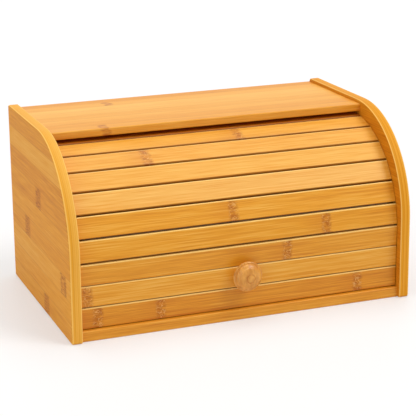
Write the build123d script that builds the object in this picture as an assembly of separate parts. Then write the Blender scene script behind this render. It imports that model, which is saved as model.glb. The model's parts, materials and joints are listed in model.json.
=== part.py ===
from build123d import *
import os
from math import asin, atan, cos, degrees, radians, sin

# A free-standing roll-top bread box of laminated bamboo. Two side panels carry a base board,
# a top shelf and a thin back panel. A curtain of ten slats, glued to canvas, runs in a track
# that is cut into the inner face of each side panel.
#
# Frame, in millimetres: the origin is the centre of the underside, +X runs along the box to
# its right end, -Y faces the user and +Z is up.

os.makedirs("parts", exist_ok=True)

# ---- driving dimensions -----------------------------------------------------------------
WIDTH, DEPTH, HEIGHT = 400.0, 250.0, 210.0

PANEL = 12.0                # thickness of a side panel
PANEL_CURVE = 118.0         # radius of its curved front
PANEL_CORNER = 3.0          # radius of its square corners, seen from the side
PANEL_EASE = 1.5            # rounding of its long edges

BASE = 12.0                 # thickness of the base board
BASE_SETBACK = 4.5          # its front edge, behind the panels' front edges
SHELF = 9.0                 # thickness of the top shelf
SHELF_SETBACK = 108.0       # its front edge, behind the panels' front edges
SHELF_DROP = 4.0            # its top face, below the panels' top edges
BOARD_EASE = 1.5            # rounding of the boards' front edges
BOARD_REAR = 0.5            # the boards' rear edges, in front of the panels' rear edges

BACK = 4.0                  # thickness of the back panel
BACK_RECESS = 3.4           # its outer face, in front of the panels' rear edges
BACK_TONGUE = 5.0           # how far it sits into the side panels and the base
BACK_TONGUE_TOP = 4.0       # how far it sits into the shelf

SLATS = 10
SLAT = 7.0                  # thickness of a slat
SLAT_PITCH = 24.3           # slat to slat, measured along the canvas
SLAT_GAP = 0.6              # gap between two slats at the canvas
SLAT_EASE = 1.1             # rounding of a slat's two front edges
SLAT_END_GAP = 0.5          # slat shoulder to side panel
BASE_GAP = 0.4              # lowest slat above the base board
TONGUE, TONGUE_LONG = 3.6, 5.0      # tongue on a slat's end: thickness, length
CANVAS, CANVAS_MARGIN = 0.8, 8.0    # canvas: thickness, bare slat left at each end

TRACK_BACK_SETBACK = 124.5  # centre of the track's arc, behind the panels' front edges
TRACK_HEIGHT = 77.5         # centre of the track's arc, above the ground
CANVAS_RADIUS = 108.9       # the slats' back faces, from that centre
SLOT_RADIUS = 112.5         # middle of the slot in the side panels
SLOT, SLOT_DEEP = 5.8, 6.0  # width and depth of that slot
SLOT_REAR_DROP = 12.0       # straight stretch at the slot's rear end

KNOB_RISE = 3.0             # the knob's axis, above the middle of its slat
# the knob's profile, as (radius, distance from the slat)
KNOB_FOOT = (9.5, 0.0)
KNOB_NECK = (8.6, 2.8)
KNOB_FLARE = (13.2, 8.6)
KNOB_RIM = (17.0, 11.2)
KNOB_GROOVE = (14.9, 12.6)
KNOB_DOME = (15.1, 13.6)
KNOB_SHOULDER = (12.2, 17.4)
KNOB_RING = (4.8, 20.1)
KNOB_LONG = 20.6            # from the slat to the top of the dome
RING_HALF, RING_DEEP = 0.4, 0.55            # the turned ring's groove: half width, depth

SCREW_HEAD, SCREW_SHANK, SCREW_LONG = 8.0, 3.6, 20.0   # head and shank diameters, length
SCREW_POINT = 3.0           # length of its tip
SCREW_CLEAR = 4.4           # hole for the shank through the slat
CANVAS_CLEAR = 0.5          # canvas hole round the screw's head

DOWEL_LONG, DOWEL_IN_PANEL = 24.0, 9.0
SHELF_DOWEL, BASE_DOWEL = 5.0, 6.0          # dowel diameters
DOWEL_CHAMFER = 0.6
SHELF_DOWEL_Y = (135.0, 185.0, 232.0)      # behind the panels' front edges
BASE_DOWEL_Y = (35.0, 125.0, 222.0)

# ---- places worked out from them --------------------------------------------------------
FRONT, REAR = -DEPTH / 2, DEPTH / 2
INSIDE = WIDTH / 2 - PANEL                  # inner face of a side panel, from the middle
SHELF_UNDER = HEIGHT - SHELF_DROP - SHELF
BACK_OUTER = REAR - BACK_RECESS
TRACK_Y, TRACK_Z = FRONT + TRACK_BACK_SETBACK, TRACK_HEIGHT

SLAT_WIDE = SLAT_PITCH - SLAT_GAP
SLAT_TURN = 2 * degrees(atan(SLAT_PITCH / 2 / CANVAS_RADIUS))       # one slat to the next
HINGE_RADIUS = CANVAS_RADIUS / cos(radians(SLAT_TURN / 2))          # the canvas at a joint
LOWEST = BASE + BASE_GAP - SLAT_GAP / 2
HANGING = 2                                 # slats that hang straight when the box is shut
FOLD_Z = LOWEST + HANGING * SLAT_PITCH      # joint above the hanging slats
FOLD_ANGLE = degrees(asin((FOLD_Z - TRACK_Z) / HINGE_RADIUS))
FOLD_Y = TRACK_Y - HINGE_RADIUS * cos(radians(FOLD_ANGLE))
CURVED = SLATS - HANGING


def slat_angle(number):
    """Angle of slat 1 to 8 round the track, from the front, when the box is shut."""
    return FOLD_ANGLE + SLAT_TURN * (CURVED - number + 0.5)


def board(x, y, z, front_ease=0.0):
    """A flat board between two corners, its long front edges eased."""
    solid = Pos((x[0] + x[1]) / 2, (y[0] + y[1]) / 2, (z[0] + z[1]) / 2) * Box(
        x[1] - x[0], y[1] - y[0], z[1] - z[0])
    if front_ease:
        solid = fillet(solid.edges().filter_by(Axis.X).group_by(Axis.Y)[0], front_ease)
    return solid


def track_outline():
    """The slot seen from the side: half a ring, and a straight leg down from each end."""
    ring = Circle(SLOT_RADIUS + SLOT / 2) - Circle(SLOT_RADIUS - SLOT / 2)
    arch = ring & (Pos(0, HEIGHT / 2) * Rectangle(WIDTH, HEIGHT))
    front_leg = Pos(-SLOT_RADIUS, -HEIGHT / 2) * Rectangle(SLOT, HEIGHT)
    rear_leg = Pos(SLOT_RADIUS, -SLOT_REAR_DROP / 2) * Rectangle(SLOT, SLOT_REAR_DROP)
    rear_end = Pos(SLOT_RADIUS, -SLOT_REAR_DROP) * Circle(SLOT / 2)
    return Pos(TRACK_Y, TRACK_Z) * (arch + front_leg + rear_leg + rear_end)


def side_panel(side):
    """A side panel with its curved front, the curtain's slot and the back panel's groove."""
    corner = (FRONT + PANEL_CURVE, HEIGHT - PANEL_CURVE)
    outline = make_face([
        Line((FRONT, 0), (REAR, 0)),
        Line((REAR, 0), (REAR, HEIGHT)),
        Line((REAR, HEIGHT), (corner[0], HEIGHT)),
        CenterArc(corner, PANEL_CURVE, 90, 90),
        Line((FRONT, corner[1]), (FRONT, 0)),
    ])
    square = [v for v in outline.vertices() if v.Y < 1 or v.X > REAR - 1]
    outline = fillet(square, PANEL_CORNER)
    panel = Plane.YZ.offset(min(side * INSIDE, side * WIDTH / 2)) * extrude(outline, PANEL)
    rims = panel.edges().filter_by(lambda e: abs(e.bounding_box().size.X) < 0.01)
    panel = fillet(rims, PANEL_EASE)

    slot = Plane.YZ.offset(side * INSIDE) * extrude(track_outline(), side * SLOT_DEEP)
    x = sorted((side * (INSIDE - 1), side * (INSIDE + BACK_TONGUE)))
    groove = board(x, (BACK_OUTER - BACK, BACK_OUTER),
                   (BASE - BACK_TONGUE, SHELF_UNDER + BACK_TONGUE_TOP))
    return panel - slot - groove - dowels(side, "shelf") - dowels(side, "base")


def dowels(side, which):
    """The three blind dowels that join one side panel to the shelf or to the base board."""
    if which == "shelf":
        diameter, places, height = SHELF_DOWEL, SHELF_DOWEL_Y, SHELF_UNDER + SHELF / 2
    else:
        diameter, places, height = BASE_DOWEL, BASE_DOWEL_Y, BASE / 2
    middle = side * (INSIDE + DOWEL_IN_PANEL - DOWEL_LONG / 2)
    pin = chamfer(Cylinder(diameter / 2, DOWEL_LONG).edges(), DOWEL_CHAMFER)
    return [Pos(middle, FRONT + y, height) * Rot(Y=90) * pin for y in places]


def all_dowels(which):
    return dowels(-1, which) + dowels(1, which)


def base_board():
    """The floor of the box. Its front edge shows as a rail below the curtain."""
    floor = board((-INSIDE, INSIDE), (FRONT + BASE_SETBACK, REAR - BOARD_REAR), (0, BASE),
                  BOARD_EASE)
    groove = board((-INSIDE, INSIDE), (BACK_OUTER - BACK, BACK_OUTER),
                   (BASE - BACK_TONGUE, BASE + 1))
    return floor - groove - all_dowels("base")


def top_shelf():
    """The fixed top, set a little below the tops of the side panels."""
    top = board((-INSIDE, INSIDE), (FRONT + SHELF_SETBACK, REAR - BOARD_REAR),
                (SHELF_UNDER, SHELF_UNDER + SHELF), BOARD_EASE)
    groove = board((-INSIDE, INSIDE), (BACK_OUTER - BACK, BACK_OUTER),
                   (SHELF_UNDER - 1, SHELF_UNDER + BACK_TONGUE_TOP))
    return top - groove - all_dowels("shelf")


def back_panel():
    """A thin board held in grooves on all four sides."""
    reach = INSIDE + BACK_TONGUE
    return board((-reach, reach), (BACK_OUTER - BACK, BACK_OUTER),
                 (BASE - BACK_TONGUE, SHELF_UNDER + BACK_TONGUE_TOP))


def slat(tongues):
    """A slat with its back face on Y = 0 and its eased front edges towards -Y."""
    section = Pos(-SLAT / 2, 0) * Rectangle(SLAT, SLAT_WIDE)
    section = fillet(section.vertices().group_by(Axis.X)[0], SLAT_EASE)
    half = INSIDE - SLAT_END_GAP
    body = Plane.YZ.offset(-half) * extrude(section, 2 * half)
    if tongues:
        body += Pos(0, -SLAT / 2, 0) * Box(2 * (half + TONGUE_LONG), TONGUE, SLAT_WIDE)
    return body


def on_track(angle):
    """Carries a piece from the slat's own frame to an angle round the track."""
    return Pos(0, TRACK_Y, TRACK_Z) * Rot(X=-angle) * Pos(0, -CANVAS_RADIUS, 0)


def hanging(number):
    """Carries a piece from the slat's own frame to hanging slat 9 or 10."""
    return Pos(0, FOLD_Y, FOLD_Z - SLAT_PITCH * (number - CURVED - 0.5))


def canvas_sheet(height):
    """A flat piece of the canvas backing, centred on a slat's back face."""
    return Pos(0, CANVAS / 2, 0) * Box(2 * (INSIDE - CANVAS_MARGIN), CANVAS, height)


def upper_canvas():
    """The canvas behind slats 1 to 8: flat on each slat, bent at each joint."""
    def corner(joint, radius):
        angle = radians(FOLD_ANGLE + SLAT_TURN * joint)
        return TRACK_Y - radius * cos(angle), TRACK_Z + radius * sin(angle)

    inner_radius = HINGE_RADIUS - CANVAS / cos(radians(SLAT_TURN / 2))
    outside = [corner(j, HINGE_RADIUS) for j in range(CURVED + 1)]
    inside = [corner(j, inner_radius) for j in range(CURVED + 1)]
    strip = make_face(Polyline(*outside, *reversed(inside), close=True))
    reach = INSIDE - CANVAS_MARGIN
    sheet = Plane.YZ.offset(-reach) * extrude(strip, 2 * reach)
    fold_gap = Pos(0, FOLD_Y, FOLD_Z) * Box(WIDTH, 4 * CANVAS, SLAT_GAP)
    return sheet - fold_gap


def screw():
    """Countersunk wood screw along Y: head flush with the slat's back, tip towards -Y."""
    cone = (SCREW_HEAD - SCREW_SHANK) / 2
    half_section = make_face(Polyline(
        (0, 0), (SCREW_HEAD / 2, 0), (SCREW_SHANK / 2, cone),
        (SCREW_SHANK / 2, SCREW_LONG - SCREW_POINT), (0, SCREW_LONG), close=True))
    return revolve(Plane.XY * half_section, Axis.Y).rotate(Axis.Z, 180)


def slat_hole():
    """The slat's clearance hole, countersunk from behind."""
    cone = (SCREW_HEAD - SCREW_CLEAR) / 2
    half_section = make_face(Polyline(
        (0, -1), (SCREW_HEAD / 2, -1), (SCREW_HEAD / 2, 0), (SCREW_CLEAR / 2, cone),
        (SCREW_CLEAR / 2, SLAT + 1), (0, SLAT + 1), close=True))
    return revolve(Plane.XY * half_section, Axis.Y).rotate(Axis.Z, 180)


def knob():
    """Turned knob: a neck, a thin rim, a fine groove and a shallow dome with a turned ring."""
    ring_out = (KNOB_RING[0] + RING_HALF, KNOB_RING[1])
    ring_in = (KNOB_RING[0] - RING_HALF, KNOB_RING[1])
    ring_bottom = (KNOB_RING[0], KNOB_RING[1] - RING_DEEP)
    half_section = make_face([
        Line((0, 0), KNOB_FOOT),
        Spline([KNOB_FOOT, KNOB_NECK, KNOB_FLARE], tangents=[(-0.5, 1), (1, 0.35)]),
        Spline([KNOB_FLARE, KNOB_RIM, KNOB_GROOVE], tangents=[(1, 0.35), (-1, 0.25)]),
        Spline([KNOB_GROOVE, KNOB_DOME, KNOB_SHOULDER, ring_out], tangents=[(0.3, 1), (-1, 0.16)]),
        ThreePointArc(ring_out, ring_bottom, ring_in),
        Spline([ring_in, (0, KNOB_LONG)], tangents=[(-1, 0.16), (-1, 0)]),
        Line((0, KNOB_LONG), (0, 0)),
    ])
    turned = revolve(Plane.XY * half_section, Axis.Y).rotate(Axis.Z, 180)
    return Pos(0, -SLAT, 0) * turned


def main():
    nodes = {
        "left_side_panel": side_panel(-1),
        "right_side_panel": side_panel(1),
        "base_board": base_board(),
        "top_shelf": top_shelf(),
        "back_panel": back_panel(),
        "shelf_dowels": Compound(children=all_dowels("shelf")),
        "base_dowels": Compound(children=all_dowels("base")),
        "canvas_upper": upper_canvas(),
    }
    for number in range(1, CURVED + 1):
        nodes[f"slat_{number:02d}"] = on_track(slat_angle(number)) * slat(tongues=True)

    knob_slat, bottom_slat = hanging(CURVED + 1), hanging(CURVED + 2)
    hanging_canvas = canvas_sheet(SLAT_PITCH - SLAT_GAP)
    at_knob = Pos(0, 0, KNOB_RISE)
    nodes["slat_09"] = knob_slat * (slat(tongues=False) - at_knob * slat_hole())
    nodes["knob"] = knob_slat * at_knob * (knob() - screw())
    nodes["knob_screw"] = knob_slat * at_knob * screw()
    nodes["canvas_knob_slat"] = knob_slat * (
        hanging_canvas
        - at_knob * Rot(X=90) * Cylinder(SCREW_HEAD / 2 + CANVAS_CLEAR, 4 * CANVAS))
    nodes["slat_10"] = bottom_slat * slat(tongues=False)
    nodes["canvas_bottom_slat"] = bottom_slat * hanging_canvas

    for name, shape in nodes.items():
        export_step(shape, f"parts/{name}.step")

    print("track centre y, z:", TRACK_Y, TRACK_Z)
    print("slat turn:", SLAT_TURN, "fold angle:", FOLD_ANGLE)
    print("fold hinge y, z:", FOLD_Y, FOLD_Z, "lower hinge z:", FOLD_Z - SLAT_PITCH)
    print("slat 8 centre angle:", slat_angle(CURVED))


main()
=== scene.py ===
"""A roll-top bread box of lacquered bamboo, on a pale floor in soft daylight."""

import json
from math import asin, atan2, cos, degrees, pi, radians, sin

import bpy
import numpy as np
from mathutils import Euler, Matrix, Vector


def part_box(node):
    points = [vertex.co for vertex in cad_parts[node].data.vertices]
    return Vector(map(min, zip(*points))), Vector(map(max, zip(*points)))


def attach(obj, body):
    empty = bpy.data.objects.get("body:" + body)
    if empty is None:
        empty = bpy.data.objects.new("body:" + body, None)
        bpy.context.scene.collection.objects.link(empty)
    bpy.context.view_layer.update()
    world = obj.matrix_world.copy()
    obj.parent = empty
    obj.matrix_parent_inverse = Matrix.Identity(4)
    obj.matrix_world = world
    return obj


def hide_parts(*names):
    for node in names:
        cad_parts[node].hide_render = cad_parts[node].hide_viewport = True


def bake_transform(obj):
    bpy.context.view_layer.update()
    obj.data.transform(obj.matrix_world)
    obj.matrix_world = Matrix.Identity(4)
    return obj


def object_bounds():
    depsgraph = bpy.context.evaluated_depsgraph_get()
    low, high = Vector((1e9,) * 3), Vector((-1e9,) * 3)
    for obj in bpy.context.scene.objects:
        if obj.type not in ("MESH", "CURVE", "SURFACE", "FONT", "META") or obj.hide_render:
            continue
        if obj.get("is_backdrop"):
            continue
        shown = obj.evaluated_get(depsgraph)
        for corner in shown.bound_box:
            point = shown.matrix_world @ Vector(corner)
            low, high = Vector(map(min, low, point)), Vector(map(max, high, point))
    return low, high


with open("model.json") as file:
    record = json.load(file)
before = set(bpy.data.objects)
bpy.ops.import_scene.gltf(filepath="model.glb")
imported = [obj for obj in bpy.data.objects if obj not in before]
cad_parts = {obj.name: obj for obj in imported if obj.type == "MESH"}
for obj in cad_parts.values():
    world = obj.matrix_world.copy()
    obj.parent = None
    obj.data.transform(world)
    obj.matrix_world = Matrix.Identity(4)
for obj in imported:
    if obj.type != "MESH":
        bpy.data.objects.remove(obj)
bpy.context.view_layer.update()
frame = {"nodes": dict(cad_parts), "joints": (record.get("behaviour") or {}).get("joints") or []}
scene = bpy.context.scene
scene.view_settings.view_transform = "Standard"


# ---- Camera --------------------------------------------------------------------------------------
# The box is seen from the front, a little to its left and from above, through a long lens.
# The axis of the lens points 30 px above the middle of the picture, which is 416 px wide.

PICTURE = 416
LENS_AXIS_UP = 30
FOCAL_PX = 1484.6
SENSOR_MM = 36.0
CAMERA_PLACE = (-0.5857, -1.5478, 0.5860)
CAMERA_DOWN, CAMERA_RIGHT, CAMERA_LEAN = 15.37, 20.81, -0.55

lens = bpy.data.cameras.new("camera")
lens.sensor_width = SENSOR_MM
lens.lens = FOCAL_PX / PICTURE * SENSOR_MM
lens.shift_y = -LENS_AXIS_UP / PICTURE
camera = bpy.data.objects.new("camera", lens)
camera.location = CAMERA_PLACE
aim = Euler((radians(90 - CAMERA_DOWN), 0, radians(-CAMERA_RIGHT))).to_matrix()
camera.rotation_euler = (aim @ Matrix.Rotation(radians(CAMERA_LEAN), 3, "Z")).to_euler()
scene.collection.objects.link(camera)
scene.camera = camera


# ---- Daylight and floor --------------------------------------------------------------------------
# White room light from all round, a window high on the right in front of the box, a weak fill from
# the left and a broad skylight above. The floor is a matt white board that keeps the shadow, and
# it is lifted towards white where the lens sees it.

ROOM = 0.34
WINDOW = dict(strength=1.22, spread=30, towards=(-0.48, 0.42, -0.72))
FILL = dict(strength=0.60, spread=60, towards=(0.90, 0.25, -0.40))
SKYLIGHT = dict(strength=1.52, spread=60, towards=(0.0, -0.15, -1.0))
WHITE = (1, 1, 1, 1)
FLOOR = (0.86, 0.86, 0.86, 1)
FLOOR_ROUGH = 0.5
FLOOR_GLOW = 0.35
FLOOR_HALF = 9.0
COAT_ROUGH = 0.25


def add(tree, kind, inputs=None, **settings):
    """A new shader node, whose inputs are given as values or as other nodes' outputs."""
    made = tree.nodes.new("ShaderNode" + kind)
    for name, value in settings.items():
        setattr(made, name, value)
    for name, value in (inputs or {}).items():
        if isinstance(value, bpy.types.NodeSocket):
            tree.links.new(value, made.inputs[name])
        else:
            made.inputs[name].default_value = value
    return made


def calc(tree, operation, first, second=0.0, third=0.0):
    """One sum on one, two or three numbers or outputs."""
    return add(tree, "Math", {0: first, 1: second, 2: third}, operation=operation).outputs[0]


def white_rays(tree):
    """1 for a ray that shows this surface to the lens, in a gloss or through a clear piece."""
    rays = add(tree, "LightPath").outputs
    shiny = calc(tree, "MAXIMUM", rays["Is Glossy Ray"], rays["Is Transmission Ray"])
    return calc(tree, "MAXIMUM", rays["Is Camera Ray"], shiny)


def material(name, rough, pattern=None, colour=None, metal=0.0, coat=0.0, gloss=0.35):
    """A named surface, whose colour is one value or what pattern(tree) returns."""
    made = bpy.data.materials.new(name)
    made.use_nodes = True
    tree = made.node_tree
    tree.nodes.clear()
    look = {"Roughness": rough, "Metallic": metal, "Coat Weight": coat,
            "Coat Roughness": COAT_ROUGH, "Specular IOR Level": gloss}
    look["Base Color"] = pattern(tree) if pattern else colour
    shader = add(tree, "BsdfPrincipled", look)
    out = add(tree, "OutputMaterial")
    tree.links.new(shader.outputs[0], out.inputs[0])
    return made


world = bpy.data.worlds.new("room")
world.use_nodes = True
scene.world = world
sky = world.node_tree
sky.nodes.clear()
room = add(sky, "Background", {"Color": WHITE, "Strength": ROOM})
white = add(sky, "Background", {"Color": WHITE, "Strength": 1.0})
either = add(sky, "MixShader", {0: white_rays(sky), 1: room.outputs[0], 2: white.outputs[0]})
sky_out = add(sky, "OutputWorld")
sky.links.new(either.outputs[0], sky_out.inputs[0])

for name, sun in (("window", WINDOW), ("fill", FILL), ("skylight", SKYLIGHT)):
    lamp = bpy.data.lights.new(name, "SUN")
    lamp.energy = sun["strength"]
    lamp.angle = radians(sun["spread"])
    stand = bpy.data.objects.new(name, lamp)
    stand.rotation_euler = Vector(sun["towards"]).to_track_quat("-Z", "Y").to_euler()
    scene.collection.objects.link(stand)

floor_mesh = bpy.data.meshes.new("floor")
floor_mesh.from_pydata([(-FLOOR_HALF, -FLOOR_HALF, 0), (FLOOR_HALF, -FLOOR_HALF, 0),
                        (FLOOR_HALF, FLOOR_HALF, 0), (-FLOOR_HALF, FLOOR_HALF, 0)],
                       [], [(0, 1, 2, 3)])
floor = bpy.data.objects.new("floor", floor_mesh)
floor_white = material("floor_white", FLOOR_ROUGH, colour=FLOOR)
board = floor_white.node_tree
matt = next(made for made in board.nodes if made.type == "BSDF_PRINCIPLED")
glow = add(board, "Emission", {"Color": WHITE, "Strength": 1.0})
either = add(board, "MixShader", {0: calc(board, "MULTIPLY", white_rays(board), FLOOR_GLOW),
                                  1: matt.outputs[0], 2: glow.outputs[0]})
board.links.new(either.outputs[0], board.nodes["Material Output"].inputs[0])
floor_mesh.materials.append(floor_white)
scene.collection.objects.link(floor)
floor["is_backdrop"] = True


# ---- Side panels ---------------------------------------------------------------------------------
# Two boards of bamboo strips glued edge to edge, grain from front to back, with the front corner
# sawn to the curve of the curtain and rounded. The three plies show along the sawn edge.

PANEL_STRIP = 0.0235
PANEL_PLIES = 3
PANEL_ROUGH, PANEL_GLOSS = 0.5, 0.08
PANEL_STREAKY = 0.9
PANEL_KNUCKLE_WIDE = 0.022
# knuckles as seen on the left panel, and the same on the right one: the strip's number from the
# bottom, and the place along Y
PANEL_KNUCKLES = ((0, -0.022), (2, -0.097), (3, 0.052), (5, -0.002))
# seed and tint of each panel; the right panel's darker tint is painted shade
PANELS = {"left": (2.0, -0.02), "right": (31.0, -0.14)}
GRAIN_BACK = (0, 0, -90)

# streaks in the grain: their length, width and depth, and how strongly they show
STREAKS = ((0.30, 0.0060, 0.006, 0.18), (0.14, 0.0022, 0.002, 0.22), (0.04, 0.0009, 0.001, 0.46))
STRIP_CONTRAST = 0.22
STRIP_SHIFT = 7.3
GLUE_LINE, GLUE_DARK = 0.0006, 0.35
DARK_TONE, MID_TONE, PALE_TONE = 0.24, 0.50, 0.76

# the sawn edge: its end grain, the seams between its plies and its two eased corners, with a
# painted highlight on each corner
END_GRAIN_WIDE, END_GRAIN_LONG = 0.0020, 0.35
END_GRAIN_CONTRAST, END_GRAIN_TONE = 0.4, 0.64
SEAM_STARTS, SEAM_DARK = 0.44, 0.30
FACE_NORMAL, EDGE_NORMAL = 0.85, 0.6
CORNER_HIGHLIGHT_STARTS, CORNER_HIGHLIGHT_FULL, CORNER_HIGHLIGHT_BRIGHT = 0.0018, 0.0010, 0.6

# a board's knuckle: a column of dashes
RIPPLE_SIZE, RIPPLE_WIDE, BOARD_RIPPLE = 0.01, 0.0035, 0.012
KNUCKLE_FULL, KNUCKLE_FADED = 0.35, 0.60
DASH_LONG, DASH_WIDE, DASH_DEEP = 0.010, 0.0013, 0.002
DASH_FROM, DASH_TO, DASH_FAINT = -0.08, 0.12, 0.25


def rgb(red, green, blue):
    """A screen colour, 0 to 255, as the linear colour that a shader takes."""
    part = np.array([red, green, blue]) / 255
    linear = np.where(part > 0.04045, ((part + 0.055) / 1.055) ** 2.4, part / 12.92)
    return (*[float(value) for value in linear], 1.0)


BAMBOO_DARK = rgb(194, 110, 12)
BAMBOO_MID = rgb(226, 152, 36)
BAMBOO_PALE = rgb(240, 184, 86)
KNUCKLE_BROWN = rgb(174, 94, 10)
# pale colour of the painted highlight on eased edges
PAINTED_EDGE_HIGHLIGHT = rgb(255, 214, 124)
GLUE_BROWN = rgb(160, 88, 20)


def fade(tree, value, start, end, first, last):
    """first up to start and last from end on, in a straight line between them."""
    return add(tree, "MapRange", {0: value, 1: start, 2: end, 3: first, 4: last}).outputs[0]


def apart(tree, value, middle):
    """How far a value is from the middle, without its sign."""
    return calc(tree, "ABSOLUTE", calc(tree, "SUBTRACT", value, middle))


def cover(tree, under, amount, over):
    """One colour laid over another by that amount."""
    return add(tree, "MixRGB", {0: amount, 1: under, 2: over}).outputs[0]


class Grain:
    """A place in a piece of bamboo: from its corner, along runs with the grain, depth through the
    piece and across over its strips."""

    def __init__(self, tree, corner, turn, seed):
        spin = Euler([radians(angle) for angle in turn])
        space = add(tree, "TexCoord").outputs
        place = add(tree, "Mapping", {"Vector": space["Object"], "Rotation": spin,
                                      "Location": -(spin.to_matrix() @ Vector(corner))})
        self.tree, self.seed, self.normal = tree, seed, space["Normal"]
        self.along, self.depth, self.across = add(tree, "SeparateXYZ",
                                                  {0: place.outputs[0]}).outputs

    def noise(self, x, y, z, long, wide, deep, detail=1.0):
        """Noise of about that length, width and depth, from -0.5 to 0.5."""
        where = add(self.tree, "CombineXYZ", {
            0: calc(self.tree, "MULTIPLY", x, 1 / long),
            1: calc(self.tree, "MULTIPLY_ADD", y, 1 / deep, self.seed),
            2: calc(self.tree, "MULTIPLY", z, 1 / wide)})
        grains = add(self.tree, "TexNoise", {"Vector": where.outputs[0], "Scale": 1.0,
                                             "Detail": detail, "Roughness": 0.5})
        return calc(self.tree, "SUBTRACT", grains.outputs[0], 0.5)

    def ripple(self):
        """Noise that bends a knuckle on its way across the piece."""
        return self.noise(self.depth, self.depth, self.across, RIPPLE_SIZE, RIPPLE_WIDE,
                          RIPPLE_SIZE, 2.0)


def sawn_edge(grain, thick, plies, tint):
    """Where a board's sawn edge shows, its tone, and a painted highlight on its eased corners."""
    tree = grain.tree
    lines = grain.noise(grain.across, grain.across, grain.depth, END_GRAIN_LONG, END_GRAIN_WIDE,
                        END_GRAIN_LONG)
    layer = calc(tree, "MULTIPLY_ADD", grain.depth, plies / thick, 0.0)
    seam = fade(tree, apart(tree, calc(tree, "FRACT", layer), 0.5), SEAM_STARTS, 0.5, 0.0, SEAM_DARK)
    tone = calc(tree, "MULTIPLY_ADD", lines, END_GRAIN_CONTRAST, END_GRAIN_TONE + tint)
    tone = calc(tree, "SUBTRACT", tone, seam)
    facing = calc(tree, "ABSOLUTE", add(tree, "SeparateXYZ", {0: grain.normal}).outputs[0])
    sawn = fade(tree, facing, FACE_NORMAL, EDGE_NORMAL, 0.0, 1.0)
    half = thick / 2
    out = apart(tree, calc(tree, "ABSOLUTE", grain.depth), half)
    # a painted highlight along the two eased corners of the sawn edge
    corner = fade(tree, out, half - CORNER_HIGHLIGHT_STARTS, half - CORNER_HIGHLIGHT_FULL, 0.0, CORNER_HIGHLIGHT_BRIGHT)
    return sawn, tone, calc(tree, "MULTIPLY", corner, sawn)


def bamboo(corner, turn, strip=None, tint=0.0, seed=0.0, streaky=1.0, plies=None, marks=None):
    """Pattern of bamboo, from its corner and with its grain turned to X. strip is the width of the
    glued strips of a board. plies, (thickness, number), shows them along the board's sawn edge.
    marks(grain, colour) lays knuckles and the like over the grain."""

    def pattern(tree):
        grain = Grain(tree, corner, turn, seed)
        row = calc(tree, "DIVIDE", grain.across, strip or 1.0)
        number = calc(tree, "ADD", calc(tree, "FLOOR", row), seed)
        chance = add(tree, "TexWhiteNoise", {"W": number}, noise_dimensions="1D")
        slide, shade = add(tree, "SeparateColor", {0: chance.outputs["Color"]}).outputs[:2]
        shifted = calc(tree, "MULTIPLY_ADD", slide, STRIP_SHIFT, grain.along)

        tone = MID_TONE + tint
        for long, wide, deep, strength in STREAKS:
            streaks = grain.noise(shifted, grain.depth, grain.across, long, wide, deep)
            tone = calc(tree, "MULTIPLY_ADD", streaks, strength * streaky, tone)
        tone = calc(tree, "MULTIPLY_ADD", calc(tree, "SUBTRACT", shade, 0.5), STRIP_CONTRAST, tone)
        if plies:
            sawn, sawn_tone, painted_highlight = sawn_edge(grain, *plies, tint)
            tone = add(tree, "Mix", {0: sawn, 2: tone, 3: sawn_tone}).outputs[0]

        ramp = add(tree, "ValToRGB", {0: tone})
        stops = ramp.color_ramp.elements
        stops[0].position, stops[0].color = DARK_TONE, BAMBOO_DARK
        stops[1].position, stops[1].color = PALE_TONE, BAMBOO_PALE
        stops.new(MID_TONE).color = BAMBOO_MID
        colour = ramp.outputs[0]

        if strip:
            glue = fade(tree, apart(tree, calc(tree, "FRACT", row), 0.5), 0.5 - GLUE_LINE / strip,
                        0.5, 0.0, GLUE_DARK)
            if plies:
                glue = calc(tree, "MULTIPLY", glue, calc(tree, "SUBTRACT", 1.0, sawn))
            colour = cover(tree, colour, glue, GLUE_BROWN)
        # lay the painted highlight over the eased corners of the sawn edge
        if plies:
            colour = cover(tree, colour, painted_highlight, PAINTED_EDGE_HIGHLIGHT)
        return marks(grain, colour) if marks else colour

    return pattern


def board_knuckles(knuckles, wide):
    """Knuckles on single strips, each (place along the grain, the strip's two edges): a column of
    brown dashes."""

    def marks(grain, colour):
        tree = grain.tree
        spot = 0.0
        for x, low, top in knuckles:
            bent = calc(tree, "MULTIPLY_ADD", grain.ripple(), BOARD_RIPPLE, grain.along)
            mask = fade(tree, apart(tree, bent, x), KNUCKLE_FULL * wide, KNUCKLE_FADED * wide,
                        1.0, 0.0)
            mask = calc(tree, "MULTIPLY", mask, calc(tree, "GREATER_THAN", grain.across, low))
            mask = calc(tree, "MULTIPLY", mask, calc(tree, "LESS_THAN", grain.across, top))
            spot = calc(tree, "MAXIMUM", spot, mask)
        dashes = grain.noise(grain.along, grain.depth, grain.across, DASH_LONG, DASH_WIDE,
                             DASH_DEEP, 2.0)
        dark = fade(tree, dashes, DASH_FROM, DASH_TO, DASH_FAINT, 1.0)
        return cover(tree, colour, calc(tree, "MULTIPLY", spot, dark), KNUCKLE_BROWN)

    return marks


def paint(node, surface):
    """Give one CAD piece its surface."""
    mesh = frame["nodes"][node].data
    mesh.materials.clear()
    mesh.materials.append(surface)


panel_marks = board_knuckles([(y, number * PANEL_STRIP, (number + 1) * PANEL_STRIP)
                              for number, y in PANEL_KNUCKLES], PANEL_KNUCKLE_WIDE)
for side, (seed, tint) in PANELS.items():
    node = side + "_side_panel"
    low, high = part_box(node)
    wood = bamboo((low.x, 0, low.z), GRAIN_BACK, PANEL_STRIP, tint, seed, PANEL_STREAKY,
                  plies=(high.x - low.x, PANEL_PLIES), marks=panel_marks)
    paint(node, material(node + "_bamboo", PANEL_ROUGH, wood, gloss=PANEL_GLOSS))


# ---- Top shelf, base and back --------------------------------------------------------------------
# The fixed top and the floor of the box are the same glued board with the grain from end to end,
# dowelled between the side panels. The back is a thin panel slid into their grooves.

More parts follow.
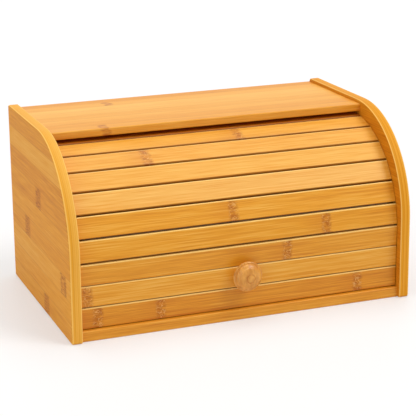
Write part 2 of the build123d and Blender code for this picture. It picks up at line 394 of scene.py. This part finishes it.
BOARD_STRIP = 0.018
BOARD_ROUGH, BACK_ROUGH = 0.45, 0.5
SHELF_CORNER = (0, -0.018, 0)
SHELF_STREAKY = 0.8
SHELF_KNUCKLES = ((-0.086, 0.108, 0.126), (-0.124, -0.002, 0.016))
SHELF_KNUCKLE_WIDE = 0.010
GRAIN_ACROSS = (90, 0, 0)
UPRIGHT = (0, 0, 0)
ORIGIN = (0, 0, 0)

shelf_marks = board_knuckles(SHELF_KNUCKLES, SHELF_KNUCKLE_WIDE)
shelf_wood = bamboo(SHELF_CORNER, GRAIN_ACROSS, BOARD_STRIP, tint=0.06, seed=11.0,
                    streaky=SHELF_STREAKY, marks=shelf_marks)
base_wood = bamboo(ORIGIN, GRAIN_ACROSS, BOARD_STRIP, tint=0.02, seed=17.0)
back_wood = bamboo(ORIGIN, UPRIGHT, BOARD_STRIP, tint=-0.02, seed=23.0)
paint("top_shelf", material("top_shelf_bamboo", BOARD_ROUGH, shelf_wood))
paint("base_board", material("base_board_bamboo", BOARD_ROUGH, base_wood))
paint("back_panel", material("back_panel_bamboo", BACK_ROUGH, back_wood))


# ---- Slats of the curtain ------------------------------------------------------------------------
# Ten flat bamboo slats, each split from its own strip, so that each has its own tint and grain.
# The eased top edge has a painted highlight, a bright line. A painted shade, a dark line along
# the foot, adds to the darkness of each joint. Slat 1 is hidden, and its darkest tint is painted
# shade for the gap under the shelf.

# slat 1's tint, the darkest, is painted shade for the gap under the shelf
SLAT_TINT = (-0.30, 0.06, 0.14, 0.08, 0.04, 0.03, 0.08, -0.08, -0.05, -0.09)
SLAT_KNUCKLES = {2: (0.026,), 3: (-0.091,), 6: (-0.009,), 7: (0.100,), 8: (0.052,),
                 9: (-0.179,), 10: (-0.097, 0.139, -0.168)}
SLAT_ROUGH, SLAT_GLOSS, SLAT_COAT = 0.42, 0.25, 0.12
FIRST_SEED, SEED_STEP = 40.0, 3
FOLD_MARGIN = 0.001
KNUCKLE_PALE = rgb(246, 202, 120)
# the colour of the painted shade along each slat's foot
JOINT_SHADE_BROWN = rgb(116, 58, 6)

# the painted highlight, a bright line below the top edge, and the painted shade, a dark line
# above the foot
TOP_HIGHLIGHT_STARTS, TOP_HIGHLIGHT_FULL, TOP_HIGHLIGHT_BRIGHT = 0.0016, 0.0009, 0.8
JOINT_SHADE_FULL, JOINT_SHADE_ENDS, JOINT_SHADE_DARK = 0.0004, 0.0009, 0.65

# a slat's knuckle: brown blots with pale curls, dark at the foot, and darker grain before it
SLAT_RIPPLE = 0.006
BAND_FULL, BAND_ENDS = 0.0035, 0.0070
BLOT_LONG, BLOT_WIDE, BLOT_DEEP = 0.0060, 0.0030, 0.01
BLOT_FROM, BLOT_TO, BLOT_FAINT, BLOT_DARK = -0.12, 0.14, 0.20, 0.90
CURL_LONG, CURL_WIDE, CURL_DEEP = 0.0050, 0.0045, 0.01
CURL_ENDS, CURL_PALE = 0.035, 0.50
BEFORE_STARTS, BEFORE_FULL, BEFORE_ENDS, BEFORE_DARK = -0.030, -0.006, 0.002, 0.30
TIP_HIGH, TIP_DARK = 0.004, 0.85


def slat_marks(knuckles, slat_high):
    """The knuckles of a slat at those places along it, and its two long edges: a painted highlight
    along the top one and a painted shade along the foot.
    """

    def marks(grain, colour):
        tree = grain.tree
        for x in knuckles:
            beside = calc(tree, "SUBTRACT", grain.along, x)
            wave = calc(tree, "MULTIPLY_ADD", grain.ripple(), SLAT_RIPPLE, beside)
            band = fade(tree, calc(tree, "ABSOLUTE", wave), BAND_FULL, BAND_ENDS, 1.0, 0.0)
            blots = grain.noise(grain.along, grain.depth, grain.across, BLOT_LONG, BLOT_WIDE,
                                BLOT_DEEP, 2.0)
            brown = fade(tree, blots, BLOT_FROM, BLOT_TO, BLOT_FAINT, BLOT_DARK)
            bent = grain.noise(grain.along, grain.depth, grain.across, CURL_LONG, CURL_WIDE,
                               CURL_DEEP)
            curl = fade(tree, calc(tree, "ABSOLUTE", bent), 0.0, CURL_ENDS, CURL_PALE, 0.0)
            before = fade(tree, wave, BEFORE_STARTS, BEFORE_FULL, 0.0, BEFORE_DARK)
            before = calc(tree, "MULTIPLY", before, calc(tree, "LESS_THAN", wave, BEFORE_ENDS))
            tip = fade(tree, grain.across, 0.0, TIP_HIGH, TIP_DARK, 0.0)
            dark = calc(tree, "MAXIMUM", brown, tip)
            colour = cover(tree, colour, before, BAMBOO_DARK)
            colour = cover(tree, colour, calc(tree, "MULTIPLY", band, dark), KNUCKLE_BROWN)
            colour = cover(tree, colour, calc(tree, "MULTIPLY", band, curl), KNUCKLE_PALE)
        # painted highlight below the top edge, and painted shade above the foot
        painted_highlight = fade(tree, grain.across, slat_high - TOP_HIGHLIGHT_STARTS, slat_high - TOP_HIGHLIGHT_FULL, 0.0,
                     TOP_HIGHLIGHT_BRIGHT)
        joint_shade = fade(tree, grain.across, JOINT_SHADE_FULL, JOINT_SHADE_ENDS, JOINT_SHADE_DARK, 0.0)
        return cover(tree, cover(tree, colour, painted_highlight, PAINTED_EDGE_HIGHLIGHT), joint_shade, JOINT_SHADE_BROWN)

    return marks


def joint_place(name):
    """Where a joint's axis is."""
    return Vector(next(joint for joint in frame["joints"] if joint["name"] == name)["pos_m"])


track = joint_place("curtain_roll")
upper_fold = joint_place("knob_slat_fold")
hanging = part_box("slat_10")
slat_high = hanging[1].z - hanging[0].z

for number, tint in enumerate(SLAT_TINT, start=1):
    node = f"slat_{number:02d}"
    low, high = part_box(node)
    centre = (low + high) / 2
    hangs = high.z < upper_fold.z + FOLD_MARGIN
    tilt = 0 if hangs else atan2(centre.z - track.z, track.y - centre.y)
    foot = centre - Vector((0, sin(tilt), cos(tilt))) * slat_high / 2
    wood = bamboo(foot, (degrees(tilt), 0, 0), tint=tint, seed=FIRST_SEED + SEED_STEP * number,
                  marks=slat_marks(SLAT_KNUCKLES.get(number, ()), slat_high))
    paint(node, material(node + "_bamboo", SLAT_ROUGH, wood, coat=SLAT_COAT, gloss=SLAT_GLOSS))


# ---- Canvas backing ------------------------------------------------------------------------------
# One cotton sheet, 360 x 243 mm, is glued behind the slats and hinges them. It is made in three
# lengths here, so that each crosses one fold of the curtain at most, and it has a hole for the
# head of the knob's screw.

CANVAS = 0.0008
CANVAS_HALF = 0.180
GLUE = 0.00005
THREAD = 0.0011
CANVAS_ROUGH = 0.9
BETWEEN_THREADS = rgb(196, 180, 150)
THREAD_PALE = rgb(226, 214, 188)
HOLE_RADIUS = 0.0045
HOLE_WINDOW = 0.0055
LAP = 0.004
CURVED_SLATS = 8
RUN_STEPS, SIDE_COLUMNS, HOLE_COLUMNS = 8, 9, 9


def weave(tree):
    """Plain weave: sin(u) * sin(v) over the threads, dark between them and pale on them."""
    split = add(tree, "SeparateXYZ", {0: add(tree, "TexCoord").outputs["UV"]})
    waves = [calc(tree, "SINE", calc(tree, "MULTIPLY", axis, 2 * pi / THREAD))
             for axis in split.outputs[:2]]
    check = calc(tree, "MULTIPLY", waves[0], waves[1])
    ramp = add(tree, "ValToRGB", {0: calc(tree, "MULTIPLY_ADD", check, 0.5, 0.5)})
    ramp.color_ramp.elements[0].color = BETWEEN_THREADS
    ramp.color_ramp.elements[1].color = THREAD_PALE
    return ramp.outputs[0]


canvas_cotton = material("canvas_cotton", CANVAS_ROUGH, weave)


def cells(grid):
    """The faces of a grid of vertex numbers, whose rows go up and whose columns go right."""
    corners = (grid[:-1, :-1], grid[:-1, 1:], grid[1:, 1:], grid[1:, :-1])
    return np.stack(corners, -1)


def rim(grid):
    """The border of such a grid, once round, anticlockwise."""
    return np.concatenate([grid[0, :-1], grid[:-1, -1], grid[-1, :0:-1], grid[:0:-1, 0]])


def walls(front, rear):
    """Faces that join two borders."""
    return np.stack([front, rear, np.roll(rear, -1), np.roll(front, -1)], -1)


def cloth(name, stops, hole=None):
    """Sheet behind the slats. It is laid out flat, u across and v along, then bent to the path that
    joins the stops (y, z): a point is path(v) + normal(v) * depth, with depth GLUE in front and
    GLUE + CANVAS at the rear. The hole at height z is a square of the grid that is left out, with
    its border drawn in to a circle."""
    stops = np.array(stops)
    runs = [np.linspace(start, end, RUN_STEPS, endpoint=False)
            for start, end in zip(stops, stops[1:])]
    line = np.concatenate([*runs, stops[-1:]])
    step = np.gradient(line, axis=0)
    normal = np.stack([step[:, 1], -step[:, 0]], 1) / np.linalg.norm(step, axis=1)[:, None]
    travel = np.concatenate([[0], np.cumsum(np.linalg.norm(np.diff(line, axis=0), axis=1))])
    left = np.linspace(-CANVAS_HALF, -HOLE_WINDOW, SIDE_COLUMNS)
    near_hole = np.linspace(-HOLE_WINDOW, HOLE_WINDOW, HOLE_COLUMNS)[1:-1]
    across = np.concatenate([left, near_hole, -left[::-1]])
    rows, columns = len(line), len(across)
    flat = np.stack(np.meshgrid(across, travel), -1)
    index = np.arange(2 * rows * columns).reshape(2, rows, columns)
    kept = np.ones((2, rows, columns), bool)
    solid = np.ones((rows - 1, columns - 1), bool)
    edges = [walls(rim(index[0]), rim(index[1]))]
    if hole:
        middle = np.array([0.0, np.interp(hole, line[:, 1], travel)])
        near = np.abs(flat - middle).max(-1) < HOLE_WINDOW + 1e-6
        row, column = np.where(near)
        row, column = slice(row.min(), row.max() + 1), slice(column.min(), column.max() + 1)
        kept[:, row.start + 1:row.stop - 1, column.start + 1:column.stop - 1] = False
        solid[row.start:row.stop - 1, column.start:column.stop - 1] = False
        edges.append(walls(rim(index[0][row, column])[::-1], rim(index[1][row, column])[::-1]))
        arm = flat[near] - middle
        length = np.maximum(np.linalg.norm(arm, axis=1), 1e-9)[:, None]
        flat[near] = middle + arm * HOLE_RADIUS / length
    bent = np.stack([np.interp(flat[..., 1], travel, part) for part in (*line.T, *normal.T)], -1)
    points = np.zeros((2, rows, columns, 3))
    points[..., 0] = flat[..., 0]
    points[0, ..., 1:] = bent[..., :2] + bent[..., 2:] * GLUE
    points[1, ..., 1:] = bent[..., :2] + bent[..., 2:] * (GLUE + CANVAS)
    faces = np.concatenate([cells(index[0])[solid], cells(index[1])[solid][:, ::-1], *edges])
    renumber = np.cumsum(kept.ravel()) - 1
    mesh = bpy.data.meshes.new(name)
    mesh.from_pydata(points[kept].tolist(), [], renumber[faces].tolist())
    corners = np.zeros(len(mesh.loops), int)
    mesh.loops.foreach_get("vertex_index", corners)
    layer = mesh.uv_layers.new(name="threads")
    layer.data.foreach_set("uv", np.stack([flat, flat])[kept][corners].ravel())
    mesh.materials.append(canvas_cotton)
    piece = bpy.data.objects.new(name, mesh)
    scene.collection.objects.link(piece)
    return piece, (2 * CANVAS_HALF, float(travel[-1]))


lower_fold = joint_place("bottom_slat_fold")
pitch = upper_fold.z - lower_fold.z
bend_radius = (upper_fold - track).length
slat_turn = 2 * asin(pitch / 2 / bend_radius)
first_angle = atan2(upper_fold.z - track.z, track.y - upper_fold.y)
angles = [first_angle + slat_turn * count for count in range(CURVED_SLATS + 1)]
bends = [(track.y - bend_radius * cos(angle), track.z + bend_radius * sin(angle))
         for angle in angles]
behind = upper_fold.y
mid_slat_08 = ((bends[0][0] + bends[1][0]) / 2, (bends[0][1] + bends[1][1]) / 2)
foot = (behind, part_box("canvas_bottom_slat")[0].z)
low_on_slat_09 = (behind, lower_fold.z + LAP)
screw_low, screw_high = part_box("knob_screw")
screw_head = (screw_low.z + screw_high.z) / 2

upper, cut = cloth("canvas_of_curtain", [mid_slat_08, *bends[1:]])
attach(upper, "curtain")
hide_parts("canvas_upper")

middle, cut = cloth("canvas_at_knob", [low_on_slat_09, (behind, screw_head - HOLE_WINDOW),
                                       (behind, screw_head + HOLE_WINDOW), bends[0],
                                       mid_slat_08], screw_head)
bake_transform(middle)
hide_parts("canvas_knob_slat")

lower, cut = cloth("canvas_of_bottom_slat", [foot, (behind, lower_fold.z), low_on_slat_09])
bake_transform(lower)
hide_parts("canvas_bottom_slat")


# ---- Knob and its screw --------------------------------------------------------------------------
# The knob is turned from a redder wood and lacquered. Its grain runs through the knob, from front
# to back. A steel screw from behind holds it.

KNOB_ROUGH, KNOB_COAT = 0.28, 0.15
KNOB_DARK = rgb(194, 122, 36)
KNOB_PALE = rgb(228, 162, 70)
KNOB_DARK_TONE, KNOB_PALE_TONE = 0.3, 0.7
# the size of the knob's grain in X, Y and Z
KNOB_GRAIN = (0.0035, 0.02, 0.009)
SCREW_STEEL = (0.72, 0.72, 0.70, 1)
SCREW_ROUGH = 0.3


def turned_wood(tree):
    """Noise stretched along Y, so that its streaks run through the knob."""
    low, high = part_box("knob")
    place = add(tree, "Mapping", {"Vector": add(tree, "TexCoord").outputs["Object"],
                                  "Location": -(low + high) / 2})
    split = add(tree, "SeparateXYZ", {0: place.outputs[0]})
    where = add(tree, "CombineXYZ", {
        axis: calc(tree, "MULTIPLY", split.outputs[axis], 1 / size)
        for axis, size in enumerate(KNOB_GRAIN)})
    noise = add(tree, "TexNoise", {"Vector": where.outputs[0], "Scale": 1.0, "Detail": 3.0})
    ramp = add(tree, "ValToRGB", {0: noise.outputs[0]})
    stops = ramp.color_ramp.elements
    stops[0].position, stops[0].color = KNOB_DARK_TONE, KNOB_DARK
    stops[1].position, stops[1].color = KNOB_PALE_TONE, KNOB_PALE
    return ramp.outputs[0]


paint("knob", material("knob_turned_wood", KNOB_ROUGH, turned_wood, coat=KNOB_COAT))
paint("knob_screw", material("knob_screw_steel", SCREW_ROUGH, colour=SCREW_STEEL, metal=1.0))


# ---- Dowels --------------------------------------------------------------------------------------
# Bare beech pins, glued blind into the side panels and the ends of the two boards.

BEECH = rgb(222, 190, 146)
BEECH_ROUGH = 0.7

for node in ("shelf_dowels", "base_dowels"):
    paint(node, material(node + "_beech", BEECH_ROUGH, colour=BEECH))


low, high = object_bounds()
